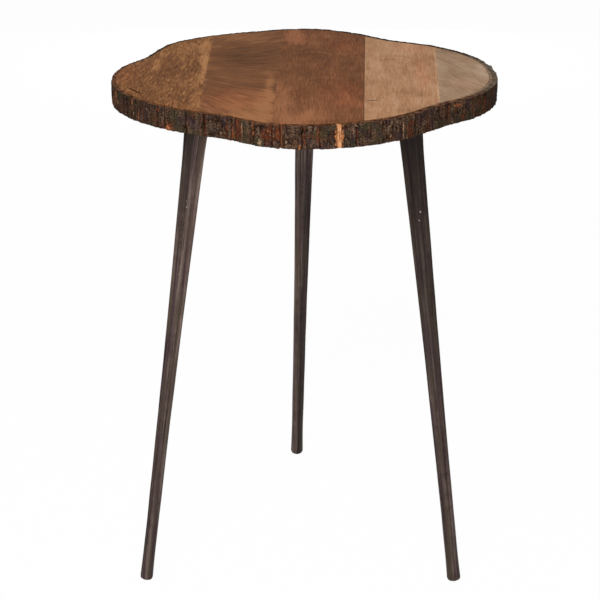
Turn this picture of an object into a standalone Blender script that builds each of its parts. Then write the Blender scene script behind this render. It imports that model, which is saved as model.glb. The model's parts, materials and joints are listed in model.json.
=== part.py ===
"""Accent table: a live-edge top of glued boards, edged with bark strips, on three splayed cast legs.

Metres, +Z up. The origin is on the floor, under the centre of the table's box, and the front is -Y.
"""
import random
from math import atan2, ceil, cos, degrees, pi, radians, sin, sqrt, tan

import bmesh
import bpy
from mathutils import Matrix, Vector

# Overall sizes
TABLE_HEIGHT = 0.610
TOP_THICKNESS = 0.026
SEAT_GAP = 0.0003
WELD_DISTANCE = 0.00001
SHARP_ANGLE = 24

# The point that the legs stand around and the pole of the top's outline, from the centre of the table's box
STAND_AXIS = (-0.0046, -0.0046)
TOP_POLE = (-0.0061, -0.0046)

# Outer outline of the bark seen from above: its mean radius about the top's pole, then degrees from +X
# and how far the outline swells out from that radius there
TOP_RADIUS = 0.2080
OUTLINE = (
    (0, 0.0170), (15, 0.0105), (33, -0.0045), (52, -0.0244), (70, -0.0136), (85, -0.0046),
    (108, -0.0108), (138, -0.0056), (161, -0.0162), (177, 0.0003), (195, 0.0092), (213, 0.0054),
    (229, -0.0032), (247, -0.0085), (261, 0.0060), (278, 0.0101), (300, 0.0064), (318, 0.0003),
    (331, 0.0118), (345, 0.0190),
)
PANEL_STEP = 3
EDGE_ROUND = 0.0015

# Glue joints between the boards: place along X from the top's pole as a share of the mean radius, so that
# the boards widen together, and lean in degrees from Y
JOINT_SHARES = ((-0.5144, 0.0), (-0.1154, 1.2), (0.3606, 2.2), (0.7596, 3.0))
BLANK_MARGIN = 0.020

# Bark: its mean thickness, how much thicker it grows towards +X, and how its strips differ
BARK_MEAN = 0.0075
BARK_SWING = 0.0025
BARK_TOP_DROP = 0.0008
BARK_FOOT_STEP = 0.0006
BARK_RECESS = 0.0006
BARK_CORNER = 0.0014
BARK_ROUND = 0.0008
INNER_BARK_SET = 0.0026
INNER_BARK_ROUND = 0.0005
STRIP_STEP = 4

# Seams of the front strips: degrees from +X and width. A few gape and show the inner bark.
# The rest follow evenly behind
SEAM_GAP = 0.0008
FRONT_SEAMS = (
    (208, SEAM_GAP), (224, SEAM_GAP), (233, SEAM_GAP), (241, SEAM_GAP), (251, 0.0035), (257, SEAM_GAP),
    (265, 0.0030), (275.5, SEAM_GAP), (281, 0.0060), (295, SEAM_GAP), (303, SEAM_GAP), (312, SEAM_GAP),
    (321, SEAM_GAP), (330, SEAM_GAP), (337.5, SEAM_GAP),
)
BACK_STRIPS = 20
BACK_DRIFT = 0.15
DRIFT_STEP = 2.4
BARK_SEED = 11

# Legs: name, azimuth of the foot and of the top, each cast and welded a little off true, and how far the
# leg tops stand in from the mean outline
LEGS = (("front_left", 210.0, 212.2), ("front_right", 329.1, 333.1), ("rear", 91.4, 87.1))
FOOT_RADIUS = 0.2190
LEG_INSET = 0.0726
LEG_TOP_WIDTH = 0.0266
LEG_FOOT_WIDTH = 0.0146
LEG_TAPER = 1.8
LEG_SIDES = 24
LEG_RINGS = 11
LEG_SPARE = 0.012
FOOT_ROUND = 0.0034
FOOT_FLARE = 0.0014
FLARE_REACH = 0.045
FOOT_RINGS = 3
FACETS = 6
FACET_TOP = 1.0
FACET_FOOT = 0.25

# Mounting plate welded on each leg, and its screws
PLATE_RADIUS = 0.038
PLATE_THICKNESS = 0.004
PLATE_SIDES = 36
SCREWS = 3
SCREW_EDGE = 0.011
SCREW_RADIUS = 0.0022
SCREW_LENGTH = 0.020
SCREW_TIP = 0.006
SCREW_HEAD_RADIUS = 0.0046
SCREW_HEAD_RIM = 0.0012
SCREW_HEAD_HEIGHT = 0.0030
SCREW_HEAD_CROWN = 0.70
SCREW_SIDES = 14
PLATE_HOLE_CLEARANCE = 0.0005
PILOT_SPARE = 0.0010

UNDERSIDE = TABLE_HEIGHT - TOP_THICKNESS
PLATE_TOP = UNDERSIDE - SEAT_GAP
PLATE_BOTTOM = PLATE_TOP - PLATE_THICKNESS
LEG_TOP = PLATE_BOTTOM - SEAT_GAP
SCREW_SEAT = PLATE_BOTTOM - SEAT_GAP
SCREW_CIRCLE = PLATE_RADIUS - SCREW_EDGE
LEG_TOP_RADIUS = TOP_RADIUS - LEG_INSET
JOINTS = [(TOP_RADIUS * place, lean) for place, lean in JOINT_SHARES]

# Linear colour, roughness and metallic value of each finish
BOARD_COLOURS = (
    (0.190, 0.086, 0.040), (0.195, 0.086, 0.043), (0.190, 0.080, 0.038),
    (0.407, 0.220, 0.119), (0.326, 0.216, 0.141),
)
BOARD_ROUGHNESS = 0.45
BARK_FINISH = ((0.070, 0.048, 0.033), 0.90, 0.0)
INNER_BARK_FINISH = ((0.400, 0.150, 0.045), 0.85, 0.0)
LEG_FINISH = ((0.072, 0.054, 0.049), 0.50, 0.75)
PLATE_FINISH = ((0.050, 0.044, 0.040), 0.55, 0.60)
SCREW_FINISH = ((0.090, 0.085, 0.080), 0.40, 0.90)


def clear_scene():
    for old in list(bpy.data.objects):
        bpy.data.objects.remove(old)


def new_collection(name):
    collection = bpy.data.collections.new(name)
    bpy.context.scene.collection.children.link(collection)
    return collection


def new_empty(name, place, collection):
    """An empty on the floor plan that pieces are placed around."""
    empty = bpy.data.objects.new(name, None)
    empty.location.xy = place
    collection.objects.link(empty)
    return empty


def finish(name, colour, roughness, metallic):
    material = bpy.data.materials.new(name)
    material.use_nodes = True
    shader = material.node_tree.nodes["Principled BSDF"]
    shader.inputs["Base Color"].default_value = (*colour, 1.0)
    shader.inputs["Roughness"].default_value = roughness
    shader.inputs["Metallic"].default_value = metallic
    return material


def polar(angle, radius):
    return Vector((radius * cos(radians(angle)), radius * sin(radians(angle))))


def outline_point(index):
    turn, place = divmod(index, len(OUTLINE))
    angle, swell = OUTLINE[place]
    return angle + 360 * turn, TOP_RADIUS + swell


def outline_radius(angle):
    """Outer radius of the bark at an angle in degrees, on a smooth closed curve through OUTLINE."""
    angle %= 360
    index = sum(1 for start, _ in OUTLINE if start <= angle) - 1
    (a0, r0), (a1, r1), (a2, r2), (a3, r3) = (outline_point(index + step) for step in (-1, 0, 1, 2))
    span = a2 - a1
    t = (angle - a1) / span
    slope_1 = (r2 - r0) / (a2 - a0) * span
    slope_2 = (r3 - r1) / (a3 - a1) * span
    start = (2 * t**3 - 3 * t**2 + 1) * r1 + (t**3 - 2 * t**2 + t) * slope_1
    end = (3 * t**2 - 2 * t**3) * r2 + (t**3 - t**2) * slope_2
    return start + end


def panel_radius(angle):
    """Radius of the sawn edge of the boards, inside the bark."""
    bark = BARK_MEAN + BARK_SWING * cos(radians(angle))
    return outline_radius(angle) - bark


def flat_piece(name, points, bottom, top, round_over, collection):
    """A flat outline between two heights, as a curve, with its rims rounded over."""
    curve = bpy.data.curves.new(name, 'CURVE')
    curve.dimensions = '2D'
    curve.fill_mode = 'BOTH'
    curve.extrude = (top - bottom) / 2 - round_over
    curve.bevel_depth = round_over
    curve.bevel_resolution = 0
    curve.offset = -round_over
    spline = curve.splines.new('POLY')
    spline.points.add(len(points) - 1)
    for corner, (x, y) in zip(spline.points, points):
        corner.co = (x, y, 0, 1)
    spline.use_cyclic_u = True
    piece = bpy.data.objects.new(name, curve)
    piece.location.z = (bottom + top) / 2
    collection.objects.link(piece)
    return piece


def as_mesh(curve_piece, collection):
    """A welded mesh object in the place of a curve object, so that it can cut and be cut."""
    bpy.context.view_layer.update()
    graph = bpy.context.evaluated_depsgraph_get()
    mesh = bpy.data.meshes.new_from_object(curve_piece.evaluated_get(graph))
    bm = bmesh.new()
    bm.from_mesh(mesh)
    bmesh.ops.remove_doubles(bm, verts=bm.verts[:], dist=WELD_DISTANCE)
    bmesh.ops.recalc_face_normals(bm, faces=bm.faces[:])
    bm.to_mesh(mesh)
    bm.free()
    name = curve_piece.name
    place = curve_piece.matrix_world.copy()
    bpy.data.objects.remove(curve_piece)
    piece = bpy.data.objects.new(name, mesh)
    piece.matrix_world = place
    collection.objects.link(piece)
    return piece


def turned_piece(name, profile, steps, collection):
    """A profile of (radius, height) points, outer side from top to bottom, turned about Z."""
    mesh = bpy.data.meshes.new(name)
    edges = [(i, i + 1) for i in range(len(profile) - 1)]
    mesh.from_pydata([(radius, 0, height) for radius, height in profile], edges, [])
    piece = bpy.data.objects.new(name, mesh)
    collection.objects.link(piece)
    screw = piece.modifiers.new("turned", 'SCREW')
    screw.axis = 'Z'
    screw.steps = steps
    screw.render_steps = steps
    screw.use_merge_vertices = True
    screw.merge_threshold = WELD_DISTANCE
    return piece


def make_cutter(piece):
    piece.hide_render = True
    piece.display_type = 'WIRE'


def cut(piece, operation, cutter):
    boolean = piece.modifiers.new(operation.lower(), 'BOOLEAN')
    boolean.operation = operation
    boolean.solver = 'EXACT'
    if isinstance(cutter, bpy.types.Collection):
        boolean.operand_type = 'COLLECTION'
        boolean.collection = cutter
    else:
        boolean.object = cutter


def joint_x(joint, y):
    offset, lean = joint
    return offset + y * tan(radians(lean))


def board_blank(name, left, right, reach, collection):
    """A board before the outline is sawn: straight joints at its sides, spare length at its ends."""
    half_gap = SEAT_GAP / 2
    corners = (
        (joint_x(left, -reach) + half_gap, -reach), (joint_x(right, -reach) - half_gap, -reach),
        (joint_x(right, reach) - half_gap, reach), (joint_x(left, reach) + half_gap, reach),
    )
    bottom = UNDERSIDE - BLANK_MARGIN
    top = TABLE_HEIGHT + BLANK_MARGIN
    return as_mesh(flat_piece(name, corners, bottom, top, 0, collection), collection)


def make_boards(parts, cutters, screw_holes, top_pole):
    """Five boards, glued side by side, sawn to one outline and drilled for the screws."""
    outline = [polar(angle, panel_radius(angle)) for angle in range(0, 360, PANEL_STEP)]
    panel = flat_piece("panel_outline", outline, UNDERSIDE, TABLE_HEIGHT, EDGE_ROUND, cutters)
    panel = as_mesh(panel, cutters)
    make_cutter(panel)
    panel.parent = top_pole
    reach = TOP_RADIUS + max(swell for _, swell in OUTLINE) + BLANK_MARGIN
    sides = ((-reach, 0), *JOINTS, (reach, 0))
    for number, colour in enumerate(BOARD_COLOURS, start=1):
        name = f"top_board_{number}"
        board = board_blank(name, sides[number - 1], sides[number], reach, parts)
        board.parent = top_pole
        cut(board, 'INTERSECT', panel)
        cut(board, 'DIFFERENCE', screw_holes)
        board.data.materials.append(finish(name, colour, BOARD_ROUGHNESS, 0.0))


def bark_seams():
    """Every seam between bark strips, counter-clockwise from the first front seam, once round."""
    first, first_gap = FRONT_SEAMS[0]
    last = FRONT_SEAMS[-1][0]
    step = (first + 360 - last) / BACK_STRIPS
    behind = []
    for k in range(1, BACK_STRIPS):
        behind.append((last + step * (k + BACK_DRIFT * sin(DRIFT_STEP * k)), SEAM_GAP))
    return [*FRONT_SEAMS, *behind, (first + 360, first_gap)]


def strip_outline(start, end, recess):
    """Plan of one strip: its inner arc along the boards, its outer arc with eased corners."""
    count = max(2, ceil((end - start) / STRIP_STEP))
    angles = [start + (end - start) * k / count for k in range(count + 1)]
    inner = [polar(angle, panel_radius(angle) + SEAT_GAP) for angle in angles]
    ease = degrees(BARK_CORNER / outline_radius(start))
    crown = [start + ease, *angles[1:-1], end - ease]
    outer = [polar(angle, outline_radius(angle) - recess) for angle in crown]
    first = polar(start, outline_radius(start) - recess - BARK_CORNER)
    last = polar(end, outline_radius(end) - recess - BARK_CORNER)
    return [*reversed(inner), first, *outer, last]


def make_bark(parts, top_pole):
    """Bark strips round the sawn edge, each set a little in or out, up or down."""
    draw = random.Random(BARK_SEED)
    bark = finish("bark", *BARK_FINISH)
    seams = bark_seams()
    for number, ((start, start_gap), (end, end_gap)) in enumerate(zip(seams, seams[1:]), start=1):
        start += degrees(start_gap / 2 / outline_radius(start))
        end -= degrees(end_gap / 2 / outline_radius(end))
        plan = strip_outline(start, end, BARK_RECESS * draw.random())
        top = TABLE_HEIGHT - BARK_TOP_DROP * draw.random()
        bottom = UNDERSIDE + BARK_FOOT_STEP * draw.uniform(-1, 1)
        strip = flat_piece(f"bark_strip_{number:02d}", plan, bottom, top, BARK_ROUND, parts)
        strip.parent = top_pole
        strip.data.materials.append(bark)


def make_inner_bark(parts, top_pole):
    """Inner bark left on the sawn edge where a seam gapes, set back behind the strips beside it."""
    inner_bark = finish("inner_bark", *INNER_BARK_FINISH)
    gaping = [(angle, gap) for angle, gap in FRONT_SEAMS if gap > SEAM_GAP]
    for number, (angle, gap) in enumerate(gaping, start=1):
        half = degrees((gap / 2 - SEAT_GAP) / outline_radius(angle))
        angles = (angle - half, angle, angle + half)
        inner = [polar(place, panel_radius(place) + SEAT_GAP) for place in angles]
        outer = [polar(place, outline_radius(place) - INNER_BARK_SET) for place in angles]
        plan = [*reversed(inner), *outer]
        top = TABLE_HEIGHT - BARK_TOP_DROP
        strip = flat_piece(f"inner_bark_{number}", plan, UNDERSIDE, top, INNER_BARK_ROUND, parts)
        strip.parent = top_pole
        strip.data.materials.append(inner_bark)


def leg_width(share):
    """Width across the facets, from the top of a leg (share 0) to its foot (share 1)."""
    return LEG_FOOT_WIDTH + (LEG_TOP_WIDTH - LEG_FOOT_WIDTH) * (1 - share)**LEG_TAPER


def leg_radius(height, angle, length):
    """Radius of a leg's section: facets at the top that soften towards a flared, rounded foot."""
    share = min(1.0, max(0.0, 1 - height / length))
    round_radius = leg_width(share) / 2
    half_facet = pi / FACETS
    across = (angle % (2 * half_facet)) - half_facet
    facet_radius = round_radius / cos(across)
    facet = FACET_TOP + (FACET_FOOT - FACET_TOP) * share
    radius = round_radius + (facet_radius - round_radius) * facet
    radius += FOOT_FLARE / 2 * (1 - min(1.0, max(0.0, height / FLARE_REACH)))**2
    rise = min(FOOT_ROUND, max(0.0, height))
    return radius - FOOT_ROUND + sqrt(FOOT_ROUND**2 - (FOOT_ROUND - rise)**2)


def trim(bm, point, normal):
    """Cut away what lies beyond a plane, and close the cut."""
    whole = bm.verts[:] + bm.edges[:] + bm.faces[:]
    sliced = bmesh.ops.bisect_plane(bm, geom=whole, plane_co=point, plane_no=normal, clear_outer=True)
    rim = [item for item in sliced["geom_cut"] if isinstance(item, bmesh.types.BMEdge)]
    bmesh.ops.edgeloop_fill(bm, edges=rim)


def make_leg(name, foot, top, metal, parts, stand_axis):
    """One cast leg from the floor to its plate, trimmed level at both ends."""
    along = (top - foot).normalized()
    length = (top - foot).length
    outward = Vector((foot.x, foot.y, 0))
    outward = (outward - along * outward.dot(along)).normalized()
    turn = Matrix((outward, along.cross(outward), along)).transposed()
    place = Matrix.Translation(foot) @ turn.to_4x4()

    bm = bmesh.new()
    blank = length + 2 * LEG_SPARE
    middle = Matrix.Translation((0, 0, length / 2))
    bmesh.ops.create_cone(bm, cap_ends=True, segments=LEG_SIDES, radius1=LEG_TOP_WIDTH,
                          radius2=LEG_TOP_WIDTH, depth=blank, matrix=middle)
    rings = [FOOT_ROUND * (k / FOOT_RINGS)**2 for k in range(FOOT_RINGS)]
    rings += [FOOT_ROUND + (FLARE_REACH - FOOT_ROUND) * k / FOOT_RINGS for k in range(FOOT_RINGS)]
    rings += [FLARE_REACH + (length - FLARE_REACH) * k / LEG_RINGS for k in range(LEG_RINGS)]
    for ring in rings:
        whole = bm.verts[:] + bm.edges[:] + bm.faces[:]
        bmesh.ops.bisect_plane(bm, geom=whole, plane_co=(0, 0, ring), plane_no=(0, 0, 1))
    for vert in bm.verts:
        angle = atan2(vert.co.y, vert.co.x)
        radius = leg_radius(vert.co.z, angle, length)
        vert.co.x = radius * cos(angle)
        vert.co.y = radius * sin(angle)

    level = turn.transposed() @ Vector((0, 0, 1))
    trim(bm, Vector((0, 0, length)), level)
    trim(bm, Vector((0, 0, 0)), -level)
    mesh = bpy.data.meshes.new(name)
    bm.to_mesh(mesh)
    bm.free()
    mesh.shade_smooth()
    mesh.set_sharp_from_angle(angle=radians(SHARP_ANGLE))
    leg = bpy.data.objects.new(name, mesh)
    parts.objects.link(leg)
    leg.parent = stand_axis
    leg.matrix_local = place
    leg.data.materials.append(metal)


def make_plate(name, seat, screw_holes, steel, parts):
    """Round plate under the boards, drilled for its screws."""
    bm = bmesh.new()
    middle = Matrix.Translation((0, 0, (PLATE_TOP + PLATE_BOTTOM) / 2))
    bmesh.ops.create_cone(bm, cap_ends=True, segments=PLATE_SIDES, radius1=PLATE_RADIUS,
                          radius2=PLATE_RADIUS, depth=PLATE_THICKNESS, matrix=middle)
    mesh = bpy.data.meshes.new(name)
    bm.to_mesh(mesh)
    bm.free()
    mesh.shade_smooth()
    mesh.set_sharp_from_angle(angle=radians(SHARP_ANGLE))
    plate = bpy.data.objects.new(name, mesh)
    parts.objects.link(plate)
    plate.parent = seat
    plate.data.materials.append(steel)
    cut(plate, 'DIFFERENCE', screw_holes)


def make_screw(name, place, seat, steel, parts, screw_holes):
    """One pan-head wood screw, and the stepped hole that it needs through the plate and into the board."""
    tip = SCREW_SEAT + SCREW_LENGTH
    crown = SCREW_SEAT - SCREW_HEAD_HEIGHT
    profile = (
        (0, tip), (SCREW_RADIUS, tip - SCREW_TIP), (SCREW_RADIUS, SCREW_SEAT),
        (SCREW_HEAD_RADIUS, SCREW_SEAT), (SCREW_HEAD_RADIUS, SCREW_SEAT - SCREW_HEAD_RIM),
        (SCREW_HEAD_RADIUS * SCREW_HEAD_CROWN, crown), (0, crown),
    )
    screw = turned_piece(name, profile, SCREW_SIDES, parts)
    screw.data.materials.append(steel)

    pilot = SCREW_RADIUS + SEAT_GAP
    clearance = SCREW_RADIUS + PLATE_HOLE_CLEARANCE
    step = (UNDERSIDE + PLATE_TOP) / 2
    mouth = PLATE_BOTTOM - PLATE_THICKNESS
    hole_end = tip + PILOT_SPARE
    hole = turned_piece(f"{name}_hole", ((0, hole_end), (pilot, hole_end), (pilot, step), (clearance, step),
                                         (clearance, mouth), (0, mouth)), SCREW_SIDES, screw_holes)
    make_cutter(hole)
    for piece in (screw, hole):
        piece.parent = seat
        piece.location.xy = place


def make_stand(parts, screw_holes, stand_axis):
    """Three legs, each with its plate and screws."""
    metal = finish("leg_metal", *LEG_FINISH)
    plate_steel = finish("plate_steel", *PLATE_FINISH)
    screw_steel = finish("screw_steel", *SCREW_FINISH)
    for name, foot_angle, top_angle in LEGS:
        foot = polar(foot_angle, FOOT_RADIUS).to_3d()
        top = polar(top_angle, LEG_TOP_RADIUS).to_3d()
        top.z = LEG_TOP
        make_leg(f"leg_{name}", foot, top, metal, parts, stand_axis)

        seat = new_empty(f"seat_{name}", top.xy, parts)
        seat.parent = stand_axis
        seat.rotation_euler.z = radians(top_angle)
        make_plate(f"leg_plate_{name}", seat, screw_holes, plate_steel, parts)
        for number in range(1, SCREWS + 1):
            place = polar(360 * number / SCREWS, SCREW_CIRCLE)
            make_screw(f"plate_screw_{name}_{number}", place, seat, screw_steel, parts, screw_holes)


def main():
    clear_scene()
    parts = new_collection("accent_table")
    cutters = new_collection("cutters")
    screw_holes = new_collection("screw_holes")
    stand_axis = new_empty("stand_axis", STAND_AXIS, parts)
    top_pole = new_empty("top_pole", TOP_POLE, parts)
    make_stand(parts, screw_holes, stand_axis)
    make_boards(parts, cutters, screw_holes, top_pole)
    make_bark(parts, top_pole)
    make_inner_bark(parts, top_pole)


main()
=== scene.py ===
"""Accent table, dressed: grained boards, rough bark, cast legs, plates and screws, in a pale studio."""
import json
import random
from bisect import bisect_left, bisect_right
from math import atan2, cos, degrees, hypot, pi, radians, sin, tan

import bpy
import numpy as np
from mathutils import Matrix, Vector, noise


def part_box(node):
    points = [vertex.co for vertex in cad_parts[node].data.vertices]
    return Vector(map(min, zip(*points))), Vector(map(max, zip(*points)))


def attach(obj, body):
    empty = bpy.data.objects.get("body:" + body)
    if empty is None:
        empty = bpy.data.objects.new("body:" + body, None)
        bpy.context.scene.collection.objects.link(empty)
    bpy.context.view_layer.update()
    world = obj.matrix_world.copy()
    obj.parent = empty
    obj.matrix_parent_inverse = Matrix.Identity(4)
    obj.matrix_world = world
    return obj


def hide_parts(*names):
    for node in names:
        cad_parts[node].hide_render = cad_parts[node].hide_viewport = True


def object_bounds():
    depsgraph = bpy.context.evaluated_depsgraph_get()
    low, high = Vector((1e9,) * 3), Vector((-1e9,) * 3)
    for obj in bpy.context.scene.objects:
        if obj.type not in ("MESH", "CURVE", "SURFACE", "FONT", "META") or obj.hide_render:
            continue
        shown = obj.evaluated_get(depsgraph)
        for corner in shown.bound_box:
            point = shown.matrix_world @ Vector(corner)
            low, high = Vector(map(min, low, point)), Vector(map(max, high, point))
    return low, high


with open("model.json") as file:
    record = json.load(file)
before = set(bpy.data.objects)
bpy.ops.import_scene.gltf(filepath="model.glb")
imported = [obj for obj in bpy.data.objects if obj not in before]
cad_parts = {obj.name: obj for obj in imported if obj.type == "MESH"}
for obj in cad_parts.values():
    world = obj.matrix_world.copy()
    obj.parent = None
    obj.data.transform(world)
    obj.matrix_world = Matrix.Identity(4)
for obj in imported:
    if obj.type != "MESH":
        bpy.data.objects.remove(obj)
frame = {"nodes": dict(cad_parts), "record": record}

CAD_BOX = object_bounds()

# Heights that the frame gives
TABLE_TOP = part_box("top_board_3")[1].z
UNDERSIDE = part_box("top_board_3")[0].z
RIM_HEIGHT = TABLE_TOP - UNDERSIDE
PLATE_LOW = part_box("leg_plate_rear")[0].z
LEG_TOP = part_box("leg_rear")[1].z

# Pole of the top's outline, and a mean radius that turns its angles into lengths
TOP_POLE = Vector((-0.0061, -0.0046, 0.0))
MEAN_RADIUS = 0.21
MERGE = 0.00001
TOUCH = 0.0001
# Degrees: faces that lie flatter than this to each other are merged
FLAT = 0.5

# Boards: the glue lines between them (place from the pole and lean in degrees from Y)
BOARDS = 5
JOINTS = ((-0.1070, 0.0), (-0.0240, 1.2), (0.0750, 2.2), (0.1580, 3.0))
# How near to a glue line a board's sides are brought up to it, more in a band under the top
GLUE_FILM = 0.000005
JOINT_REACH = 0.0009
TOP_JOINT_REACH = 0.0018
TOP_BAND = 0.0012
# The rounded rim: where it starts, where its edges lie, how they are eased and what is left of the groove
RIM_START = 0.0030
RIM_NEAR = 0.0040
RIM_SHARP = 35
RIM_EASE = 0.0003
RIM_LEFT = 0.0001
# Radius at which fanning grain keeps its scale
FAN_RADIUS = 0.14

# Splits in the boards: board, middle, length, width, depth, turn in degrees
SPLITS = (
    (1, (-0.1882, -0.0884), 0.0372, 0.00264, 0.0060, -55),
    (4, (0.0735, -0.1272), 0.0180, 0.0030, 0.0045, 2),
)
# How far the painted shade in a split may reach, in lengths and in widths
SPLIT_SHADE_REACH = (1.25, 8 / 3)

# Bark strips, the seams that gape and show the inner bark, and how bright that is
STRIPS = 34
GAPING = ((251, 0.0), (265, 0.10), (281, 1.0))
BARK_VOXEL = 0.0006
BAST_VOXEL = 0.0005
BARK_SEED = 5
# The part of the face whose marks are drawn by chance, in degrees
BEHIND = (352.5, 560)
# How far the strips close up on each other, how ragged the gaping seams are, how far in from a strip's
# end that reaches, how far the bark stands proud of its solid, and how far it closes on the boards
SEAM_CLOSE = 0.0005
SEAM_TEAR = 0.0013
SEAM_EASE = 0.0022
BARK_PROUD = 0.0010
RING_CLOSE = 0.0004
# Relief of the bark's face, of its sawn top and of its underside
LUMPS = 0.0012
PLATES = 0.0009
WRINKLES = 0.0007
GRIT = 0.0004
TORN_RIM = 0.0009
TOP_LUMPS = 0.0009
TOP_PLATES = 0.0003
UNDER_PLATES = 0.0012
# Relief of the inner bark: fibres and tears
BAST_FIBRES = 0.0006
BAST_TEARS = 0.0007
# Fissures: the depth at which their painted shade is full, and the width of their bared edges
FISSURE_SHADE_DEPTH = 0.0018
BARED_EDGE = 0.0009
# How ragged the rims of bared and flaked patches are
RAGGED = 1.7
# Where the sawn ring is lipped with brown, where it is tan and where it has sapwood: middle, none and full,
# in degrees round
LIP_SIDE = (250, 95, 70)
TAN_SIDE = (356, 30, 12)
SAP_SIDE = (8, 62, 44)

# Fissures at the front of the bark: degrees from +X, half width, depth and how warm their edges are
# (0 grey, 0.3 red, 1 orange)
FISSURES = (
    (201.5, 0.0007, 0.0012, 0.0), (205.0, 0.0008, 0.0014, 0.2), (208.0, 0.0007, 0.0013, 0.0),
    (211.2, 0.0007, 0.0011, 0.6), (214.0, 0.0008, 0.0013, 0.6), (216.6, 0.0008, 0.0013, 0.25),
    (218.5, 0.0011, 0.0022, 0.0), (222.7, 0.0013, 0.0025, 0.5), (225.6, 0.0006, 0.001, 0.0),
    (229.3, 0.0007, 0.0012, 0.0), (233.4, 0.0012, 0.0019, 0.12), (236.2, 0.0006, 0.0011, 0.0),
    (239.5, 0.0016, 0.0032, 0.15), (242.5, 0.0006, 0.001, 0.0), (244.9, 0.0009, 0.0016, 0.2),
    (247.4, 0.0012, 0.0019, 0.45), (249.1, 0.0008, 0.0016, 0.5), (253.6, 0.0006, 0.0011, 0.0),
    (256.8, 0.0011, 0.0017, 0.6), (260.3, 0.0008, 0.0014, 0.35), (262.4, 0.0013, 0.0028, 0.3),
    (267.8, 0.0006, 0.0009, 0.0), (270.8, 0.0014, 0.003, 0.45), (275.6, 0.0012, 0.0025, 0.48),
    (278.2, 0.0006, 0.0009, 0.0), (285.8, 0.001, 0.0018, 0.35), (289.9, 0.0006, 0.001, 0.1),
    (292.6, 0.0005, 0.0008, 0.0), (295.0, 0.0013, 0.0023, 0.0), (298.2, 0.0006, 0.0009, 0.0),
    (300.1, 0.0009, 0.0018, 0.15), (302.9, 0.0007, 0.0011, 0.15), (305.5, 0.0012, 0.0023, 0.2),
    (310.5, 0.0013, 0.002, 0.4), (313.2, 0.0006, 0.001, 0.0), (316.4, 0.0008, 0.0013, 0.0),
    (320.2, 0.0013, 0.0025, 0.5), (325.9, 0.0008, 0.0014, 0.5), (330.1, 0.0011, 0.002, 0.2),
    (334.0, 0.0008, 0.0012, 0.0), (337.3, 0.0016, 0.003, 0.25), (340.6, 0.0007, 0.0012, 0.2),
    (344.2, 0.001, 0.0016, 0.0), (348.5, 0.0012, 0.0022, 0.15),
)
# Bared inner bark at the front: degrees from +X, share of the height, half width and half height in metres,
# and how warm it is
BARED = (
    (211.5, 0.62, 0.0016, 0.006, 0.85), (214.6, 0.35, 0.001, 0.006, 0.7), (216.8, 0.4, 0.0012, 0.006, 0.2),
    (222.9, 0.8, 0.003, 0.003, 0.45), (226.9, 0.12, 0.0042, 0.0034, 1.0), (226.9, 0.16, 0.008, 0.006, 0.4),
    (233.7, 0.45, 0.0013, 0.012, 0.1), (240.1, 0.55, 0.0014, 0.013, 0.15), (247.4, 0.5, 0.0014, 0.012, 0.4),
    (249.6, 0.3, 0.0024, 0.007, 0.5), (251.4, 0.5, 0.0068, 0.0115, 0.25),
    (256.8, 0.55, 0.0015, 0.011, 0.75), (261.2, 0.55, 0.0085, 0.0115, 0.28),
    (264.2, 0.6, 0.0034, 0.01, 0.4), (271.4, 0.5, 0.0009, 0.013, 0.4), (270.1, 0.1, 0.0014, 0.004, 0.85),
    (275.0, 0.5, 0.0009, 0.012, 0.42), (280.0, 0.5, 0.0012, 0.0135, 1.0), (282.0, 0.5, 0.0012, 0.013, 0.95),
    (285.9, 0.5, 0.0012, 0.013, 0.28), (303.4, 0.42, 0.006, 0.0115, 0.26),
    (310.4, 0.5, 0.0016, 0.012, 0.35), (311.6, 0.3, 0.0018, 0.007, 0.22),
    (320.4, 0.5, 0.0012, 0.0125, 0.45), (323.9, 0.82, 0.006, 0.003, 0.62),
    (326.4, 0.3, 0.0018, 0.007, 0.25), (330.2, 0.5, 0.0012, 0.012, 0.18), (336.3, 0.45, 0.003, 0.01, 0.25),
)
# Pale flakes of dry fibre: degrees, share of the height, half width and half height
FLAKED = (
    (212.0, 0.3, 0.001, 0.0022), (218.2, 0.72, 0.0008, 0.0012), (245.3, 0.25, 0.0009, 0.0014),
    (252.9, 0.6, 0.0005, 0.008), (258.7, 0.2, 0.0021, 0.0038), (266.3, 0.3, 0.001, 0.0014),
    (296.1, 0.7, 0.001, 0.0012), (296.4, 0.3, 0.0011, 0.0013), (300.8, 0.5, 0.0007, 0.012),
    (285.6, 0.92, 0.0012, 0.002), (322.0, 0.15, 0.001, 0.0012),
)
# A burl that stands proud at the right: degrees, share of the height, half width and half height
BURL = (5.5, 0.85, 0.0046, 0.0104)
BURL_PROUD = 0.0020
# Sapwood left on the inner side of the bark at the right: how wide it is
SAPWOOD = 0.0026

# Legs: name, the azimuth that one facet ridge points to, how much stouter the casting is than its pattern,
# and how dark its patina and painted shade are at three heights, on the left side and on the right
LEGS = (
    ("front_left", 210.0, 0.0003, (0.54, 0.42, 0.70), (0.48, 0.08, 0.08)),
    ("front_right", 329.1, 0.0009, (0.47, 0.89, 0.91), (0.41, 0.74, 0.92)),
    ("rear", 91.4, 0.0009, (0.35, 0.20, 0.33), (0.73, 0.74, 0.0)),
)
PATINA_AND_SHADE_HEIGHTS = (0.19, 0.385, 0.51)
LEG_SIDES = 72
RING_CUTS = (9, 55)
FACETS = 6
LEG_SEED = 8
PITS = 26
PIT_HALF = 0.0012
# How far a leg flares under its plate, and from how far below. How deep its facets, file marks, lumps,
# pits and nicks are
FLARE = 0.0010
FLARE_START = 0.05
HOLLOW = 0.0008
FILE_MARKS = 0.00028
CAST_LUMPS = 0.0006
PIT_DEPTH = 0.0006
NICK_DEPTH = 0.0003
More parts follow.
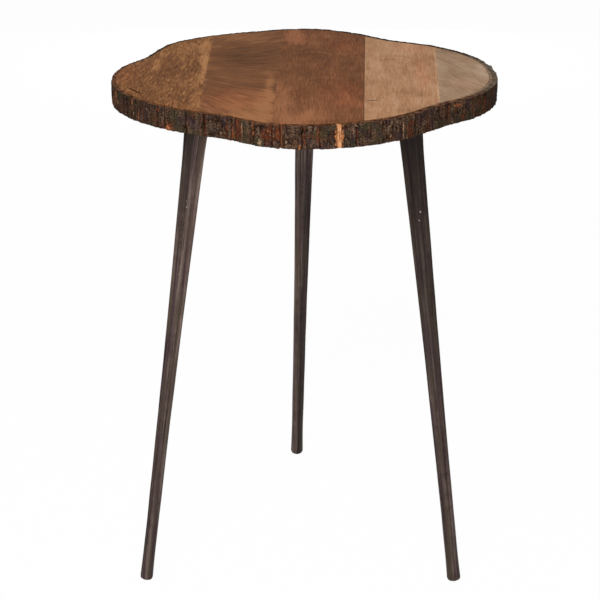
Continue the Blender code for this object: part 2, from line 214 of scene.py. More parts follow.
# Marks left in the castings by leg: azimuth, height and half size
NICKS = {
    "front_left": ((262, 0.483, 0.0006), (265, 0.476, 0.0007), (262, 0.396, 0.0006)),
    "front_right": ((280, 0.4676, 0.0013), (271, 0.458, 0.0007)),
    "rear": ((262, 0.500, 0.0007),),
}
PITTED = {
    "front_left": ((246, 0.463), (242, 0.458), (250, 0.454), (244, 0.449), (248, 0.443), (241, 0.440),
                   (247, 0.433)),
    "front_right": ((273, 0.4674), (287, 0.4685)),
    "rear": (),
}

# Weld beads: ring that they are modelled on, thickness, ripples, and how far out and down they sit
BEAD_RING = 0.02
BEAD_RADIUS = 0.0024
BEAD_RIPPLES = 17
BEAD_OUT = 0.0004
BEAD_DROP = 0.0007
BEAD_FLAT = 0.75

# Plates and screws
PLATE_SHARP = 60
PLATE_EASE = 0.0005
SCREWS = 3
SHANK_RADIUS = 0.0022
SCREW_TIP = 0.006
TIP_SHARE = 0.12
HEAD_ROUND = 0.0015
SHANK_CUTS = 44
RECESS_WIDTH = 0.0007
RECESS_REACH = 0.0024
RECESS_DEPTH = 0.0016
THREAD_PITCH = 0.0018
THREAD_DEPTH = 0.00045

# Studio: lamps by place, aim, size and watts, the room's light, the floor, and the photograph's viewpoint
LAMPS = {
    "key": ((-0.65, -3.0, 2.6), (0, 0, 0.4), 2.2, 136),
    "fill": ((0.0, 2.7, 0.08), (0, 0, 0.5), 0.9, 24),
}
ROOM_LIGHT = 0.44
FLOOR_SIZE = 24
FLOOR_GREY = (0.90, 0.90, 0.90)
FLOOR_WHITE = 0.97
VIEW_PLACE = (-0.0061, -1.8811, 1.1149)
VIEW_DROP = 22.851
VIEW_TURN = -0.019
VIEW_LENS = 100.66
VIEW_SENSOR = 36


# Modelling helpers

def select_only(piece):
    bpy.ops.object.select_all(action='DESELECT')
    piece.select_set(True)
    bpy.context.view_layer.objects.active = piece


def leave_edit():
    bpy.ops.object.mode_set(mode='OBJECT')


def pick(items, test):
    """Select the edges or faces that pass a test, from object mode."""
    for item in items:
        item.select = bool(test(item))


def edit(piece, test=None, faces=False):
    """Edit mode on one piece. Only the edges, or the faces, that pass a test are selected."""
    select_only(piece)
    bpy.ops.object.mode_set(mode='EDIT')
    bpy.ops.mesh.select_mode(type='FACE' if faces else 'EDGE')
    bpy.ops.mesh.select_all(action='DESELECT')
    if test:
        leave_edit()
        pick(piece.data.polygons if faces else piece.data.edges, test)
        bpy.ops.object.mode_set(mode='EDIT')


def edit_all(piece):
    edit(piece)
    bpy.ops.mesh.select_all(action='SELECT')


def merge_flat(piece):
    """Merge the faces that lie in one plane."""
    edit_all(piece)
    bpy.ops.mesh.dissolve_limited(angle_limit=radians(FLAT))
    leave_edit()


def end_heights(piece, edge):
    """Heights of an edge's lower and upper end."""
    return sorted(piece.data.vertices[k].co.z for k in edge.vertices)


def apply_modifier(piece, kind, **settings):
    select_only(piece)
    modifier = piece.modifiers.new(kind.lower(), kind)
    for setting, value in settings.items():
        setattr(modifier, setting, value)
    bpy.ops.object.modifier_apply(modifier=modifier.name)


def into_scene(name, data):
    piece = bpy.data.objects.new(name, data)
    bpy.context.scene.collection.objects.link(piece)
    return piece


def copy_of(node, name):
    """A copy of a CAD node's mesh, its triangles merged into one skin."""
    piece = into_scene(name, frame["nodes"][node].data.copy())
    piece.data.materials.clear()
    edit_all(piece)
    bpy.ops.mesh.remove_doubles(threshold=MERGE)
    leave_edit()
    return piece


def cut_with(piece, cutter):
    apply_modifier(piece, 'BOOLEAN', operation='DIFFERENCE', solver='EXACT', object=cutter)
    bpy.data.objects.remove(cutter)


def smooth(piece, angle):
    select_only(piece)
    bpy.ops.object.shade_smooth_by_angle(angle=radians(angle))


def settle(piece):
    """Put a piece's place, turn and scale into its mesh."""
    select_only(piece)
    bpy.ops.object.transform_apply(location=True, rotation=True, scale=True)


def hand_over(piece, finish, slot, *nodes):
    """Finish a piece, tie it to the table and let it stand for its CAD nodes."""
    piece.data.materials.clear()
    piece.data.materials.append(finish)
    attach(piece, "root")
    if nodes:
        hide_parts(*nodes)


def vertex_array(mesh):
    flat = np.zeros(len(mesh.vertices) * 3, np.float32)
    mesh.vertices.foreach_get("co", flat)
    return flat.reshape(-1, 3)


def move_vertices(mesh, points):
    mesh.vertices.foreach_set("co", np.array(points, np.float32).ravel())


def paint(mesh, names, rows):
    """Keep numbers or vectors for each vertex, one row for each, for the finish to read."""
    for name, values in zip(names, zip(*rows)):
        values = np.array(values, np.float32)
        kind, field = ('FLOAT', "value") if values.ndim == 1 else ('FLOAT_VECTOR', "vector")
        mesh.attributes.new(name, kind, 'POINT').data.foreach_set(field, values.ravel())


def ease(value, low, high):
    """0 at low, 1 at high, with a soft start and end."""
    t = min(1.0, max(0.0, (value - low) / (high - low)))
    return t * t * (3 - 2 * t)


def noise_at(x, y, z):
    """Noise between -1 and 1."""
    return noise.noise(Vector((x, y, z)))


def rough(point, across, upright=None, lift=0.0):
    """Noise between -1 and 1 at a point, scaled apart across and upright."""
    upright = across if upright is None else upright
    return noise_at(point.x * across, point.y * across, point.z * upright + lift)


def half_rough(*where):
    """The same noise between 0 and 1."""
    return 0.5 + 0.5 * rough(*where)


def angle_gap(angle, other):
    """Degrees from the other angle to this one, between -180 and 180."""
    return (angle - other + 180) % 360 - 180


def beside(angle, middle, none, full):
    """1 near a middle angle, 0 further round."""
    return ease(abs(angle_gap(angle, middle)), none, full)


def about_pole(point):
    """Angle in degrees and radius of a point about the top's pole."""
    x, y = point[0] - TOP_POLE.x, point[1] - TOP_POLE.y
    return degrees(atan2(y, x)) % 360, hypot(x, y)


def in_box(point, margin=TOUCH):
    """The point, kept inside the table's box."""
    low, high = CAD_BOX
    return Vector([min(high[k] - margin, max(low[k] + margin, point[k])) for k in range(3)])


# Finishes

class Nodes:
    """Nodes in the making. Most methods give back the socket that leaves the nodes they add."""

    def __init__(self, tree):
        self.tree = tree

    def feed(self, socket, value):
        if isinstance(value, bpy.types.NodeSocket):
            self.tree.links.new(value, socket)
        else:
            socket.default_value = (*value, 1.0) if socket.type == 'RGBA' else value

    def add(self, kind, *values, **settings):
        """A node with its settings, and its first inputs fed in order."""
        node = self.tree.nodes.new(kind)
        for setting, value in settings.items():
            setattr(node, setting, value)
        for socket, value in zip(node.inputs, values):
            self.feed(socket, value)
        return node

    def math(self, operation, *values):
        return self.add("ShaderNodeMath", *values, operation=operation).outputs[0]

    def times(self, first, second):
        return self.math('MULTIPLY', first, second)

    def plus(self, base, value, weight):
        """The base and the value at a weight."""
        return self.math('MULTIPLY_ADD', value, weight, base)

    def seen(self):
        """1 for what is looked at, straight, mirrored or through something clear, 0 for what only lights."""
        path = self.add("ShaderNodeLightPath").outputs
        bounced = self.math('MAXIMUM', path["Is Glossy Ray"], path["Is Transmission Ray"])
        return self.math('MAXIMUM', path["Is Camera Ray"], bounced)


class Finish(Nodes):
    """A node material in the making."""

    def __init__(self, name):
        self.material = bpy.data.materials.new(name)
        self.material.use_nodes = True
        super().__init__(self.material.node_tree)
        self.shader = self.tree.nodes["Principled BSDF"]
        self.place = self.add("ShaderNodeTexCoord").outputs["Object"]

    def total(self, *terms):
        """Sum of (value, weight) terms, each value taken about its middle, around a half."""
        result = 0.5
        for value, weight in terms:
            result = self.math('ADD', self.plus(-weight / 2, value, weight), result)
        return result

    def parts(self, vector):
        return self.add("ShaderNodeSeparateXYZ", vector).outputs

    def joined(self, *values):
        return self.add("ShaderNodeCombineXYZ", *values).outputs[0]

    def mapped(self, vector, scale=(1, 1, 1), shift=(0, 0, 0), turn=0.0):
        """The vector, scaled, turned about Z by degrees and shifted."""
        return self.add("ShaderNodeMapping", vector, shift, (0, 0, radians(turn)), scale).outputs[0]

    def length(self, vector):
        return self.add("ShaderNodeVectorMath", vector, operation='LENGTH').outputs["Value"]

    def noise(self, vector, scale=1.0, detail=2.0, roughness=0.5, shift=None, output="Fac"):
        """Noise on a vector, which is shifted first, and stretched where the scale is a tuple."""
        if isinstance(scale, tuple):
            vector, scale = self.mapped(vector, scale, shift or (0, 0, 0)), 1.0
        elif shift:
            vector = self.mapped(vector, shift=shift)
        return self.add("ShaderNodeTexNoise", vector, 0.0, scale, detail, roughness).outputs[output]

    def wavering(self, vector, scale, reach):
        """The vector, pushed about by soft noise, so that what it places has natural edges."""
        push = self.noise(vector, scale, output="Color")
        centred = self.mapped(vector, shift=[-reach / 2] * 3)
        return self.add("ShaderNodeVectorMath", push, [reach] * 3, centred,
                        operation='MULTIPLY_ADD').outputs[0]

    def fanning(self, apex):
        """Coordinates of grain that fans out from a point: arc across, distance along."""
        off = self.mapped(self.place, (1, 1, 0), (-apex[0], -apex[1], 0))
        split = self.parts(off)
        arc = self.times(self.math('ARCTAN2', split["Y"], split["X"]), FAN_RADIUS)
        return self.joined(arc, self.length(off), self.parts(self.place)["Z"])

    def arching(self, vector, crest, bend):
        """Coordinates of cathedral figure: nested arches that point to the back at a crest."""
        split = self.parts(self.mapped(vector, shift=(-crest[0], -crest[1], 0)))
        drop = self.times(self.times(split["X"], split["X"]), bend)
        return self.joined(split["X"], self.math('ADD', split["Y"], drop))

    def span(self, value, low, high, to_low=0.0, to_high=1.0):
        """One span of values, taken softly to another."""
        return self.add("ShaderNodeMapRange", value, low, high, to_low, to_high,
                        interpolation_type='SMOOTHSTEP').outputs[0]

    def patch(self, vector, middle, half, turn=0.0):
        """A soft oval seen from above: 1 at its middle, 0 at its rim."""
        centred = self.mapped(vector, shift=(-middle[0], -middle[1], 0))
        oval = self.mapped(self.mapped(centred, turn=-turn), (1 / half[0], 1 / half[1], 0))
        return self.span(self.length(oval), 1.0, 0.15)

    def along_joint(self, vector, joint, half):
        """A soft line along a glue line: 1 on it, 0 beyond its half width."""
        place, lean = JOINTS[joint]
        centred = self.mapped(vector, shift=(-TOP_POLE.x - place, -TOP_POLE.y, 0))
        across = self.parts(self.mapped(centred, turn=lean))["X"]
        return self.span(self.math('ABSOLUTE', across), half, half * 0.25)

    def mix(self, factor, first, second, blend='MIX'):
        node = self.add("ShaderNodeMix", factor, data_type='RGBA', blend_type=blend)
        colours = [socket for socket in node.inputs if socket.type == 'RGBA']
        self.feed(colours[0], first)
        self.feed(colours[1], second)
        return [socket for socket in node.outputs if socket.type == 'RGBA'][0]

    def tinted(self, colour, factor, strength, tint, blend='MIX'):
        """The colour, mixed with a tint by a factor at a strength."""
        return self.mix(self.times(factor, strength), colour, tint, blend)

    def ramp(self, value, *stops):
        node = self.add("ShaderNodeValToRGB", value)
        elements = node.color_ramp.elements
        while len(elements) < len(stops):
            elements.new(0.5)
        for element, (position, colour) in zip(elements, stops):
            element.position = position
            element.color = (*colour, 1.0)
        return node.outputs["Color"]

    def painted(self, name, output="Fac"):
        return self.add("ShaderNodeAttribute", attribute_name=name).outputs[output]

    def finished(self, colour, roughness, relief, relief_depth, specular=0.5, metallic=0.0):
        bump = self.add("ShaderNodeBump")
        inputs = self.shader.inputs
        for socket, value in ((inputs["Base Color"], colour), (inputs["Roughness"], roughness),
                              (inputs["Metallic"], metallic), (inputs["Specular IOR Level"], specular),
                              (bump.inputs["Distance"], relief_depth), (bump.inputs["Height"], relief),
                              (inputs["Normal"], bump.outputs[0])):
            self.feed(socket, value)
        return self.material


# Looks of the boards. tones: dark, middle and light, linear. grain: lean from Y in degrees, or the point that
# the grain fans out from. long: how drawn out its streaks are. weights: bands, streaks, fibres, clouds and
# light flecks. places: lighter (+) and darker (-) places by middle, half size, turn in degrees and strength.
# arches: cathedral figure by crest, half size, bend and strength. edges: glue lines that show, with half
# width and strength. rosy: middle, half size and strength
BOARD_LOOKS = {
    1: dict(
        tones=((0.070, 0.026, 0.009), (0.180, 0.070, 0.023), (0.400, 0.187, 0.072)),
        grain=3.0, long=1.0, weights=(0.38, 0.62, 1.40, 0.30, 0.28),
        places=(((-0.146, -0.005), (0.034, 0.050), 0, -0.08), ((-0.150, 0.095), (0.036, 0.060), 0, 0.16),
                ((-0.172, 0.022), (0.006, 0.045), -6, 0.20), ((-0.140, -0.110), (0.035, 0.050), 0, -0.04),
                ((-0.1150, 0.020), (0.0085, 0.090), 0, 0.44),
                ((-0.1240, 0.105), (0.0140, 0.060), 0, 0.16)),
        edges=((0, 0.0150, 0.14),),
        rosy=(((-0.205, -0.030), (0.025, 0.050), 0.6),)),
    2: dict(
        tones=((0.062, 0.025, 0.009), (0.164, 0.064, 0.024), (0.335, 0.144, 0.058)),
        grain=(-0.206, 0.015), long=2.2, weights=(0.32, 0.50, 0.95, 0.40, 0.06),
        places=(((-0.068, 0.055), (0.060, 0.075), 0, -0.20), ((-0.0400, -0.080), (0.0080, 0.105), 1, 0.26),
                ((-0.0430, -0.128), (0.0170, 0.075), 1, 0.28),
                ((-0.0560, -0.165), (0.0420, 0.060), 0, 0.20),
                ((-0.078, -0.130), (0.052, 0.066), 0, 0.14), ((-0.075, 0.150), (0.060, 0.040), 0, 0.16),
                ((-0.045, -0.192), (0.060, 0.026), -10, 0.36)),
        edges=((0, 0.0030, 0.14),),
        rosy=(((-0.080, -0.120), (0.055, 0.070), 0.8),)),
    3: dict(
        tones=((0.064, 0.023, 0.008), (0.162, 0.059, 0.021), (0.315, 0.126, 0.055)),
        grain=1.2, long=1.5, weights=(0.30, 0.38, 0.85, 0.50, 0.06),
        places=(((0.006, 0.070), (0.044, 0.050), 0, -0.06), ((-0.012, 0.155), (0.020, 0.050), 0, 0.36),
                ((0.030, -0.140), (0.055, 0.065), 0, 0.13), ((0.004, -0.176), (0.006, 0.024), -6, 0.30),
                ((0.050, 0.090), (0.020, 0.045), 0, 0.10), ((-0.005, -0.196), (0.048, 0.042), 0, 0.36),
                ((-0.0270, -0.120), (0.0200, 0.095), 1, 0.32)),
        arches=(((0.010, 0.085), (0.048, 0.070), 26.0, 0.7), ((0.022, -0.030), (0.040, 0.060), 30.0, 0.45)),
        edges=((2, 0.0012, -0.36),),
        rosy=(((0.044, -0.105), (0.040, 0.090), 0.75), ((0.050, 0.110), (0.036, 0.060), 0.7),
              ((-0.010, 0.150), (0.025, 0.050), 0.5))),
    4: dict(
        tones=((0.240, 0.110, 0.048), (0.402, 0.208, 0.106), (0.530, 0.315, 0.185)),
        grain=2.4, long=1.6, weights=(0.40, 0.50, 0.95, 0.70, 0.0),
        places=(((0.088, 0.010), (0.018, 0.110), 2, 0.12), ((0.128, 0.040), (0.010, 0.060), 3, -0.08),
                ((0.115, 0.110), (0.045, 0.060), 0, 0.20), ((0.118, -0.105), (0.026, 0.020), 12, -0.08)),
        arches=(((0.105, 0.060), (0.034, 0.080), 34.0, 0.7),),
        edges=((2, 0.0010, 0.22), (3, 0.0030, 0.40)),
        rosy=(((0.134, -0.020), (0.011, 0.100), 0.75), ((0.130, 0.100), (0.030, 0.040), 0.5))),
    5: dict(
        tones=((0.205, 0.114, 0.062), (0.346, 0.220, 0.134), (0.460, 0.326, 0.220)),
        grain=-25.0, long=1.6, weights=(0.45, 0.60, 0.75, 0.70, 0.0),
        places=(((0.168, 0.085), (0.018, 0.040), 0, -0.22), ((0.205, 0.000), (0.012, 0.070), 0, 0.24),
                ((0.168, 0.020), (0.010, 0.050), 3, -0.08)),
        rosy=(((0.178, -0.060), (0.022, 0.040), 0.5),)),
}
ROSY_TINT = (1.10, 0.92, 0.92)
BARE_WOOD = (0.360, 0.240, 0.140)
# Colour of the painted shade inside the splits
SPLIT_SHADE = (0.020, 0.009, 0.005)


def board_finish(number):
    """Satin-finished board: bands, streaks, fibres, flecks, pores, places where its tone changes, painted
    shade in splits.
    """
    look = BOARD_LOOKS[number]
    dark, middle, light = look["tones"]
    band, streak, fibre, cloud, fleck = look["weights"]
    wood = Finish(f"board_{number}_wood")
    if isinstance(look["grain"], tuple):
        grain = wood.fanning(look["grain"])
    else:
        grain = wood.mapped(wood.place, turn=look["grain"])
    grain = wood.mapped(grain, shift=(0.7 * number, 0.31 * number, 0))
    loose = wood.wavering(grain, 18.0, 0.011)
    bands = wood.noise(loose, (75, 8, 75), 3.0)
    streaks = wood.noise(loose, (230, 30 / look["long"], 230), 3.0, 0.6)
    fibres = wood.noise(grain, (620, 75 / look["long"], 620), 3.0, 0.6)
    clouds = wood.noise(loose, (44, 30, 44), 4.0, 0.55)
    flecks = wood.span(wood.noise(grain, (430, 44, 430), shift=(9, 4, 2)), 0.58, 0.74)
    tone = wood.total((bands, band), (streaks, streak), (fibres, fibre), (clouds, cloud))
    tone = wood.plus(tone, flecks, fleck)
    soft = wood.wavering(wood.place, 30.0, 0.016)
    for spot, half, turn, strength in look["places"]:
        tone = wood.plus(tone, wood.patch(soft, spot, half, turn), strength)
    for crest, half, bend, strength in look.get("arches", ()):
        lines = wood.noise(wood.arching(soft, crest, bend), (16, 90, 16))
        tone = wood.plus(tone, wood.patch(soft, crest, half), wood.plus(-strength / 2, lines, strength))
    broken = wood.span(wood.total((bands, 1.0), (streaks, 1.0)), 0.32, 0.66, 0.25, 1.1)
    for joint, half, strength in look.get("edges", ()):
        line = wood.along_joint(wood.wavering(wood.place, 45.0, half * 0.9), joint, half)
        tone = wood.plus(tone, wood.times(line, broken), strength)
    colour = wood.ramp(tone, (0.10, dark), (0.5, middle), (0.92, light))
    for spot, half, strength in look["rosy"]:
        colour = wood.tinted(colour, wood.patch(soft, spot, half), strength, ROSY_TINT, 'MULTIPLY')

    pores = wood.span(wood.noise(grain, (2400, 150, 2400), 1.0), 0.62, 0.72)
    colour = wood.tinted(colour, pores, 0.5, dark)
    height = wood.parts(wood.place)["Z"]
    # Painted shade inside each split, below the top face
    for where, spot, length, width, depth, turn in SPLITS:
        if where == number:
            half = (length * SPLIT_SHADE_REACH[0], width * SPLIT_SHADE_REACH[1])
            below = wood.span(height, TABLE_TOP - 0.0001, TABLE_TOP - 0.0005)
            above = wood.span(height, TABLE_TOP - 2 * depth, TABLE_TOP - 1.5 * depth)
            inside = wood.times(wood.patch(wood.place, spot, half, turn), wood.times(below, above))
            colour = wood.mix(inside, colour, SPLIT_SHADE)
    colour = wood.tinted(colour, wood.span(height, UNDERSIDE + 0.0006, UNDERSIDE), 0.35, BARE_WOOD)
    relief = wood.plus(wood.times(fibres, 0.5), pores, -0.8)
    return wood.finished(colour, wood.plus(0.44, streaks, 0.16), relief, 0.00025, specular=0.012)


def bark_finish():
    """Dark weathered bark: brown plates with olive and plum tints, red and orange inner bark where bared."""
    bark = Finish("bark_plates")
    lying = bark.mapped(bark.place, (1, 1, 1.7))
    upright = bark.noise(bark.place, (430, 430, 75), 3.0, 0.6)
    grain = bark.total((bark.noise(lying, 420.0, 3.0, 0.6), 1.9), (upright, 1.8),
                       (bark.noise(bark.place, 120.0, 3.0), 0.9))
    colour = bark.ramp(grain, (0.14, (0.009, 0.005, 0.003)), (0.50, (0.046, 0.024, 0.015)),
                       (0.90, (0.148, 0.090, 0.058)))
    for shift, scale, strength, tint in (((0, 0, 0), 70.0, 0.70, (0.075, 0.028, 0.013)),
                                         ((3, 1, 2), 62.0, 0.70, (0.038, 0.034, 0.018)),
                                         ((7, 5, 1), 66.0, 0.65, (0.034, 0.020, 0.023))):
        cloud = bark.span(bark.noise(bark.place, scale, 3.0, shift=shift), 0.50, 0.66)
        colour = bark.tinted(colour, cloud, strength, tint)
    specks = bark.span(bark.noise(lying, 620.0, shift=(5, 2, 1)), 0.60, 0.72)
    colour = bark.tinted(colour, specks, 0.60, (0.215, 0.140, 0.088))
    holes = bark.span(bark.noise(lying, 400.0, shift=(2, 8, 4)), 0.58, 0.72)
    colour = bark.tinted(colour, holes, 0.75, (0.011, 0.006, 0.005))
    # Painted shade in the hollows of the bark's relief
    colour = bark.tinted(colour, bark.painted("hollow_shade"), 0.55, (0.014, 0.008, 0.006))
    # Painted shade: the bark darker towards its left and right sides, which the light reaches less
    side_shade_x = bark.math('ABSOLUTE', bark.parts(bark.place)["X"])
    colour = bark.tinted(colour, bark.span(side_shade_x, 0.09, 0.21), 1.0, (0.72, 0.70, 0.68), 'MULTIPLY')
    # Painted shade deep in the fissures
    colour = bark.mix(bark.painted("fissure_shade"), colour, (0.011, 0.005, 0.003))

    blotch = bark.noise(bark.place, (620, 620, 300), 3.0, 0.6)
    warm = bark.ramp(bark.painted("warmth"), (0.0, (0.052, 0.020, 0.011)), (0.3, (0.092, 0.025, 0.011)),
                     (0.6, (0.185, 0.056, 0.021)), (1.0, (0.410, 0.155, 0.054)))
    warm = bark.mix(bark.span(blotch, 0.34, 0.56), (0.034, 0.012, 0.007), warm)
    bright = bark.times(bark.span(blotch, 0.58, 0.72), bark.painted("warmth"))
    warm = bark.mix(bright, warm, (0.620, 0.360, 0.190))
    colour = bark.mix(bark.painted("bared"), colour, warm)
    colour = bark.mix(bark.painted("flaked"), colour, (0.270, 0.170, 0.100))

    sawn = bark.total((bark.noise(bark.place, 380.0, 3.0), 1.6), (bark.noise(bark.place, 110.0), 1.4))
    ring = bark.ramp(sawn, (0.25, (0.016, 0.009, 0.006)), (0.75, (0.075, 0.045, 0.030)))
    for layer, low, dark, high, light in (
            ("tan", 0.20, (0.060, 0.041, 0.030), 0.80, (0.190, 0.136, 0.097)),
            ("lip", 0.25, (0.030, 0.012, 0.007), 0.75, (0.180, 0.080, 0.040)),
            ("sap", 0.25, (0.190, 0.118, 0.074), 0.75, (0.335, 0.225, 0.150))):
        ring = bark.mix(bark.painted(layer), ring, bark.ramp(sawn, (low, dark), (high, light)))
    colour = bark.mix(bark.painted("sawn"), colour, ring)
    # The burl: grey, with painted highlights in light spots among dark ones
    burl_grey_and_highlights = bark.ramp(bark.noise(bark.place, 700.0), (0.44, (0.028, 0.022, 0.019)),
                     (0.64, (0.270, 0.250, 0.235)))
    colour = bark.mix(bark.painted("burl"), colour, burl_grey_and_highlights)
    relief = bark.total((bark.noise(lying, 620.0, 4.0, 0.7), 0.8), (bark.noise(lying, 240.0, 3.0), 0.8))
    return bark.finished(colour, 0.9, relief, 0.0010, specular=0.02)


def inner_bark_finish():
    """Orange-brown bast in upright fibres, redder and darker where it has weathered."""
    bast = Finish("inner_bark_fibres")
    fibre = bast.noise(bast.place, (900, 900, 110), 4.0, 0.6)
    fresh = bast.ramp(fibre, (0.30, (0.110, 0.034, 0.012)), (0.45, (0.420, 0.160, 0.060)),
                      (0.64, (0.720, 0.400, 0.210)))
    weathered = bast.ramp(fibre, (0.32, (0.020, 0.008, 0.005)), (0.64, (0.140, 0.042, 0.017)))
    colour = bast.mix(bast.painted("fresh"), weathered, fresh)
    shade = bast.span(bast.noise(bast.place, 240.0, 3.0), 0.56, 0.72)
    colour = bast.tinted(colour, shade, 0.65, (0.070, 0.024, 0.010))
    return bast.finished(colour, 0.85, fibre, 0.0006, specular=0.06)


def leg_finish():
    """Dark bronze-brown cast metal, filed lengthwise, lighter on the ridges, stained, with a grey patina and
    painted shade.
    """
    metal = Finish("leg_bronze")
    along = metal.painted("along_leg", "Vector")
    filed = metal.noise(along, (520, 520, 9), 4.0, 0.65)
    bands = metal.noise(along, (210, 210, 4.0), 3.0)
    mottle = metal.noise(metal.place, 85.0, 4.0, 0.6)
    tone = metal.total((filed, 2.5), (bands, 2.1), (mottle, 0.8))
    # Lighter facet ridges: rubbed wear and a painted highlight
    tone = metal.plus(tone, metal.painted("ridge_wear_and_highlight"), 0.14)
    colour = metal.ramp(tone, (0.12, (0.034, 0.021, 0.018)), (0.50, (0.096, 0.062, 0.053)),
                        (0.95, (0.195, 0.140, 0.120)))
    for shift, strength, tint in (((0, 0, 0), 0.60, (0.078, 0.042, 0.050)),
                                  ((4, 2, 1), 0.55, (0.088, 0.066, 0.042))):
        stain = metal.noise(along, (200, 200, 12), shift=shift)
        colour = metal.tinted(colour, metal.span(stain, 0.47, 0.60), strength, tint)
    # Patina and painted shade: darker by leg, side and height, most where the table top shades a leg
    colour = metal.tinted(colour, metal.painted("patina_and_shade"), 1.0, (0.146, 0.145, 0.132), 'MULTIPLY')
    # Painted shade in the casting pits, near black
    colour = metal.mix(metal.painted("pit"), colour, (0.010, 0.006, 0.006))
    colour = metal.mix(metal.painted("nick"), colour, (0.420, 0.360, 0.320))
    relief = metal.total((filed, 0.7), (metal.noise(metal.place, 900.0, 3.0), 0.4))
    return metal.finished(colour, metal.plus(0.36, mottle, 0.30), relief, 0.00035,
                          specular=0.12, metallic=0.12)


def plate_finish():
    """Dark bronze paint over rolled plate, with an orange-peel skin and worn spots."""
    coat = Finish("plate_paint")
    peel = coat.noise(coat.place, 700.0, 3.0)
    worn = coat.span(coat.noise(coat.place, 75.0, 4.0, 0.65), 0.58, 0.72)
    colour = coat.ramp(peel, (0.35, (0.036, 0.030, 0.027)), (0.65, (0.060, 0.052, 0.047)))
    colour = coat.tinted(colour, worn, 0.5, (0.120, 0.105, 0.092))
    return coat.finished(colour, coat.plus(0.55, worn, -0.12), peel, 0.00015, metallic=0.4)


def weld_finish():
    """Weld bead under the same paint, darker in the hollows of its ripples."""
    bead = Finish("weld_bead")
    ripple = bead.noise(bead.place, 420.0, 3.0)
    colour = bead.ramp(ripple, (0.35, (0.030, 0.022, 0.019)), (0.65, (0.090, 0.070, 0.060)))
    return bead.finished(colour, 0.5, ripple, 0.0003, metallic=0.5)


def screw_finish():
    """Blackened zinc, rubbed bright in spots."""
    zinc = Finish("screw_zinc")
    rubbed = zinc.noise(zinc.place, 900.0, 4.0, 0.6)
    colour = zinc.ramp(rubbed, (0.40, (0.060, 0.056, 0.053)), (0.70, (0.210, 0.200, 0.190)))
    return zinc.finished(colour, zinc.plus(0.25, rubbed, 0.25), rubbed, 0.0001, metallic=0.9)


# Boards

def glue_line(joint, y):
    """X of a glue line at a depth."""
    place, lean = JOINTS[joint]
    return TOP_POLE.x + place + tan(radians(lean)) * (y - TOP_POLE.y)


def close_up(board, number):
    """Bring the board's sides up to its glue lines."""
    for joint, side in ((number - 2, 1), (number - 1, -1)):
        if 0 <= joint < len(JOINTS):
            for vert in board.data.vertices:
                line = glue_line(joint, vert.co.y)
                reach = TOP_JOINT_REACH if vert.co.z > TABLE_TOP - TOP_BAND else JOINT_REACH
                if abs(vert.co.x - line) < reach:
                    vert.co.x = line + side * GLUE_FILM


def set_radius(vert, radius, wanted):
    """Move a vertex straight in or out from the pole."""
    for axis in (0, 1):
        vert.co[axis] = TOP_POLE[axis] + (vert.co[axis] - TOP_POLE[axis]) * wanted / radius


def draw_out_rim(board):
    """Draw the rounded top edge out towards the bark, so that little of a groove is left."""
    for vert in board.data.vertices:
        angle, radius = about_pole(vert.co)
        rim = panel_radius(angle)
        if vert.co.z > TABLE_TOP - TOUCH and radius > rim - RIM_START:
            set_radius(vert, radius, rim - RIM_LEFT)


def trim_corners(board):
    """Bring back what the easing pushes past the rim or above the top at a board's corners."""
    for vert in board.data.vertices:
        angle, radius = about_pole(vert.co)
        if radius > panel_radius(angle):
            set_radius(vert, radius, panel_radius(angle))
        vert.co.z = min(vert.co.z, TABLE_TOP)


def split_cutter(middle, length, width, depth, turn):
    """A slim upright bar that opens a split in the top face."""
    bpy.ops.mesh.primitive_cylinder_add(vertices=8, radius=0.5, depth=2 * depth,
                                        location=(*middle, TABLE_TOP), rotation=(0, 0, radians(turn)))
    cutter = bpy.context.active_object
    cutter.scale = (length, width, 1)
    settle(cutter)
    return cutter


def make_board(number):
    """One board, its rim eased round and its splits opened."""
    node = f"top_board_{number}"
    board = copy_of(node, f"wood_board_{number}")
    merge_flat(board)
    draw_out_rim(board)
    edit(board)
    bpy.ops.mesh.edges_select_sharp(sharpness=radians(RIM_SHARP))
    leave_edit()
    slanted = {key for polygon in board.data.polygons if 0.3 < abs(polygon.normal.z) < 0.9
               for key in polygon.edge_keys}

    def on_rim(edge):
        first, second = [board.data.vertices[k].co for k in edge.vertices]
        angle, radius = about_pole((first + second) / 2)
        level = abs(first.z - second.z) < TOUCH
        return level and radius > panel_radius(angle) - RIM_NEAR and edge.select and edge.key in slanted

    pick(board.data.edges, on_rim)
    bpy.ops.object.mode_set(mode='EDIT')
    bpy.ops.mesh.bevel(offset=RIM_EASE, segments=2, affect='EDGES')
    leave_edit()
    trim_corners(board)
    close_up(board, number)
    for where, *split in SPLITS:
        if where == number:
            cut_with(board, split_cutter(*split))
    smooth(board, 40)
    for polygon in board.data.polygons:
        if abs(polygon.normal.z) > 0.999:
            polygon.use_smooth = False
    hand_over(board, board_finish(number), frame["record"]["materials"][number - 1]["slot"], node)


# Bark

# What is left out of the solids' vertices when their faces are measured: the boards' inner part, their eased
# edges, the strips' inner faces, and the degrees at the strips' ends
PANEL_LEAST = 0.172
EASED_EDGE = 0.0004
STRIP_INNER = 0.003
STRIP_END = 0.3


def strip_node(number):
    return f"bark_strip_{number:02d}"


def strip_span(number):
    """First and last angle of a bark strip, the last one past the first."""
    low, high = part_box(strip_node(number))
    middle = about_pole((low + high) / 2)[0]
    verts = frame["nodes"][strip_node(number)].data.vertices
    gaps = [angle_gap(about_pole(vert.co)[0], middle) for vert in verts]
    return middle + min(gaps), middle + max(gaps)


def radius_table(points):
    """Sorted angles about the top's pole and the greatest radius at each."""
    rim = {}
    for point in points:
        angle, radius = about_pole(point)
        rim[round(angle, 1)] = max(radius, rim.get(round(angle, 1), 0.0))
    angles = sorted(rim)
    return np.array(angles), np.array([rim[angle] for angle in angles])


